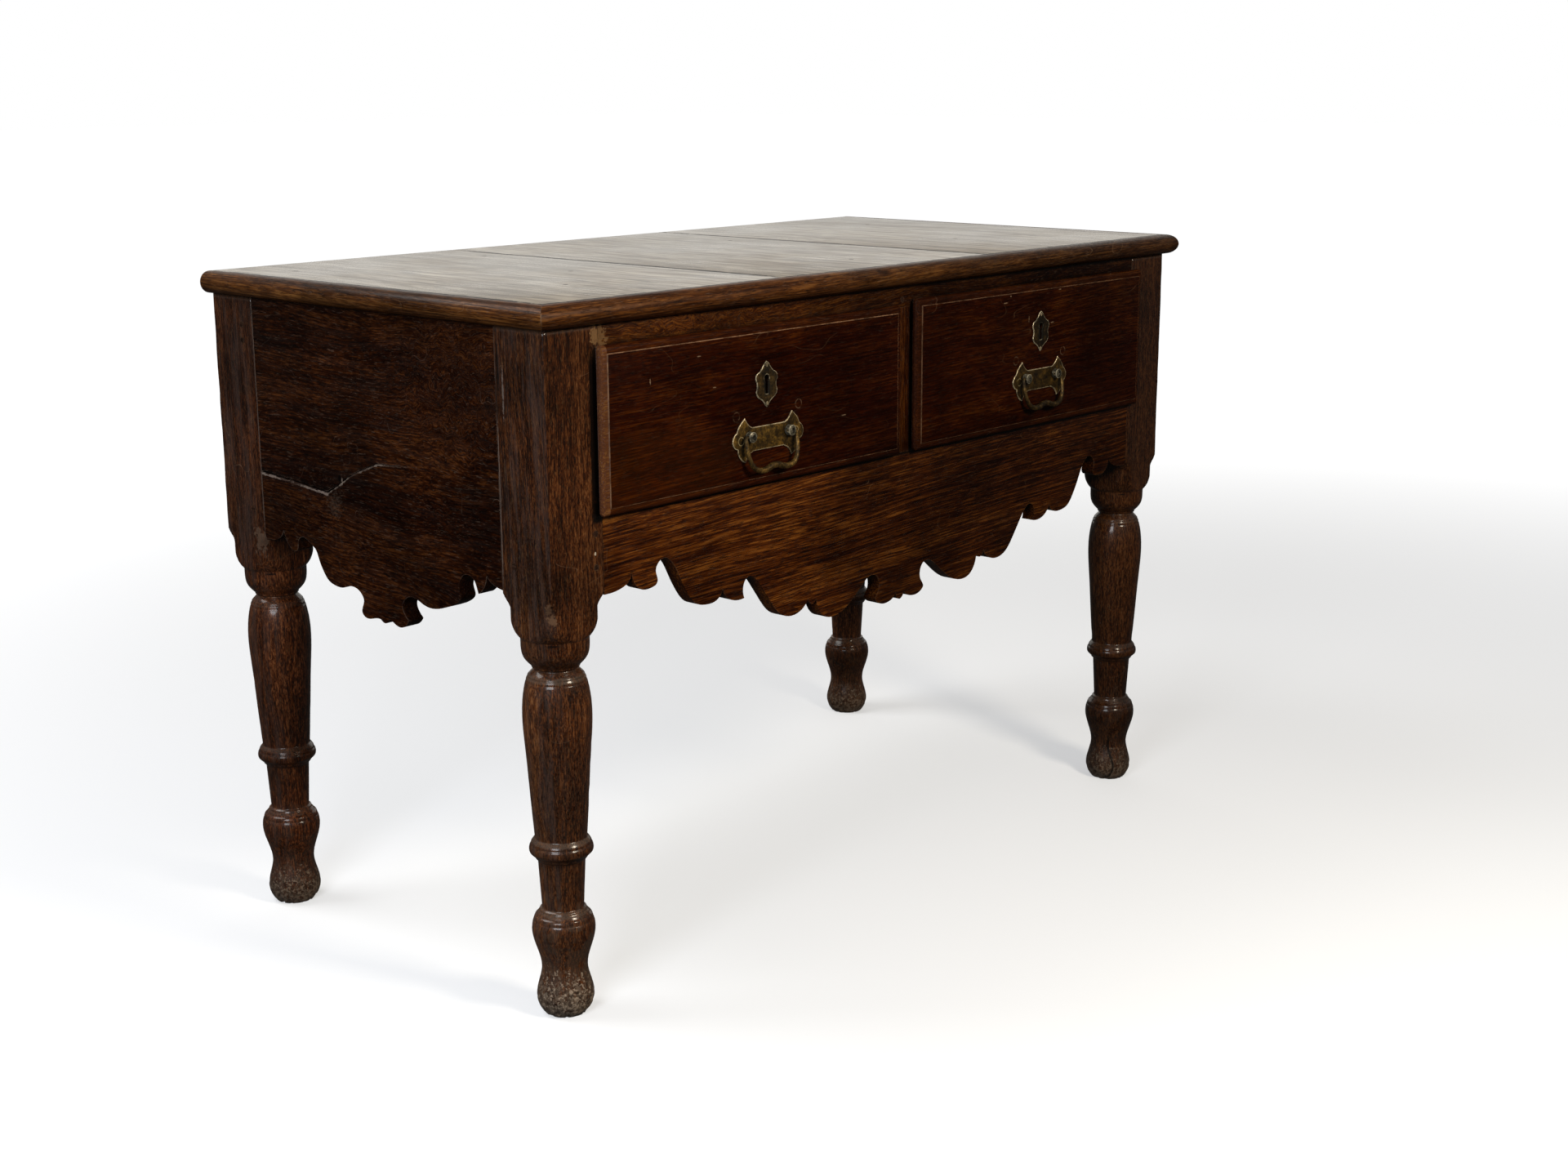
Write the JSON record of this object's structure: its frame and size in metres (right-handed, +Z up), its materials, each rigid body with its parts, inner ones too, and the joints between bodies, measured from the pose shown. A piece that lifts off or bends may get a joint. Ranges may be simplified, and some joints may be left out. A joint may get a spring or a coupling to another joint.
{
  "type": "lowboy",
  "caption": "Low table-height case on turned legs, with side-by-side lipped drawers, scrolled lower edges, and brass handles with hanging bails.",
  "frame": {"origin": "on the floor, below the middle of the bounding box", "axes": "+X to the right along the front, the drawers face -Y, +Z up"},
  "size_m": [1.144, 0.5867, 0.76],
  "materials": {
    "turned_legs": "old polish, dark purple-brown, glossy on the turnings, worn pale at the feet",
    "case_boards": "old polish, golden to dark red-brown figured grain",
    "drawer_fronts": "old polish, dark red-brown, grain across",
    "top_boards": "worn polish, pale where the light falls, dark joint lines",
    "top_moulding": "worn polish, golden brown with dark streaks",
    "inner_wood": "bare planed pine",
    "pegs": "dark end grain",
    "plate_brass": "old dull olive brass, pale at the bevel",
    "cast_brass": "old brass, greyed, bright where handled",
    "iron": "dark forged iron"
  },
  "bodies": {
    "case": {"leg_front_left": "turned_legs", "leg_front_right": "turned_legs", "leg_back_left": "turned_legs", "leg_back_right": "turned_legs", "front_apron": "case_boards", "front_rail": "case_boards", "muntin": "case_boards", "side_board_left": "case_boards", "side_board_right": "case_boards", "back_board": "inner_wood", "runner_left": "inner_wood", "runner_centre": "inner_wood", "runner_right": "inner_wood", "guide_left": "inner_wood", "guide_centre": "inner_wood", "guide_right": "inner_wood", "kicker_left": "inner_wood", "kicker_centre": "inner_wood", "kicker_right": "inner_wood", "glue_blocks": "inner_wood", "pegs_front": "pegs", "pegs_back": "pegs", "pegs_left": "pegs", "pegs_right": "pegs", "top_board_left": "top_boards", "top_board_middle": "top_boards", "top_board_right": "top_boards", "top_moulding_front": "top_moulding", "top_moulding_left": "top_moulding", "top_moulding_right": "top_moulding"},
    "left_drawer": {"drawer_front_left": "drawer_fronts", "drawer_side_outer_left": "inner_wood", "drawer_side_inner_left": "inner_wood", "drawer_back_left": "inner_wood", "drawer_bottom_left": "inner_wood", "bottom_nails_left": "iron", "lock_case_left": "iron", "escutcheon_left": "plate_brass", "escutcheon_pins_left": "cast_brass", "handle_plate_left": "plate_brass", "handle_posts_left": "cast_brass", "handle_nuts_left": "iron"},
    "left_bolt": {"lock_bolt_left": "iron"},
    "left_bail": {"bail_left": "cast_brass"},
    "right_drawer": {"drawer_front_right": "drawer_fronts", "drawer_side_outer_right": "inner_wood", "drawer_side_inner_right": "inner_wood", "drawer_back_right": "inner_wood", "drawer_bottom_right": "inner_wood", "bottom_nails_right": "iron", "lock_case_right": "iron", "escutcheon_right": "plate_brass", "escutcheon_pins_right": "cast_brass", "handle_plate_right": "plate_brass", "handle_posts_right": "cast_brass", "handle_nuts_right": "iron"},
    "right_bolt": {"lock_bolt_right": "iron"},
    "right_bail": {"bail_right": "cast_brass"}
  },
  "joints": [
    {"name": "left_drawer_slide", "type": "slide", "parent": "case", "child": "left_drawer", "axis": [0, -1, 0], "range_m": [0, 0.38]},
    {"name": "left_bolt_throw", "type": "slide", "parent": "left_drawer", "child": "left_bolt", "axis": [0, 0, 1], "range_m": [0, 0.008]},
    {"name": "left_bail_swing", "type": "hinge", "parent": "left_drawer", "child": "left_bail", "pos_m": [-0.2465, -0.28365, 0.5958], "axis": [-1, 0, 0], "range_deg": [0, 155]},
    {"name": "right_drawer_slide", "type": "slide", "parent": "case", "child": "right_drawer", "axis": [0, -1, 0], "range_m": [0, 0.38]},
    {"name": "right_bolt_throw", "type": "slide", "parent": "right_drawer", "child": "right_bolt", "axis": [0, 0, 1], "range_m": [0, 0.008]},
    {"name": "right_bail_swing", "type": "hinge", "parent": "right_drawer", "child": "right_bail", "pos_m": [0.2595, -0.28365, 0.6033], "axis": [-1, 0, 0], "range_deg": [0, 155]}
  ]
}
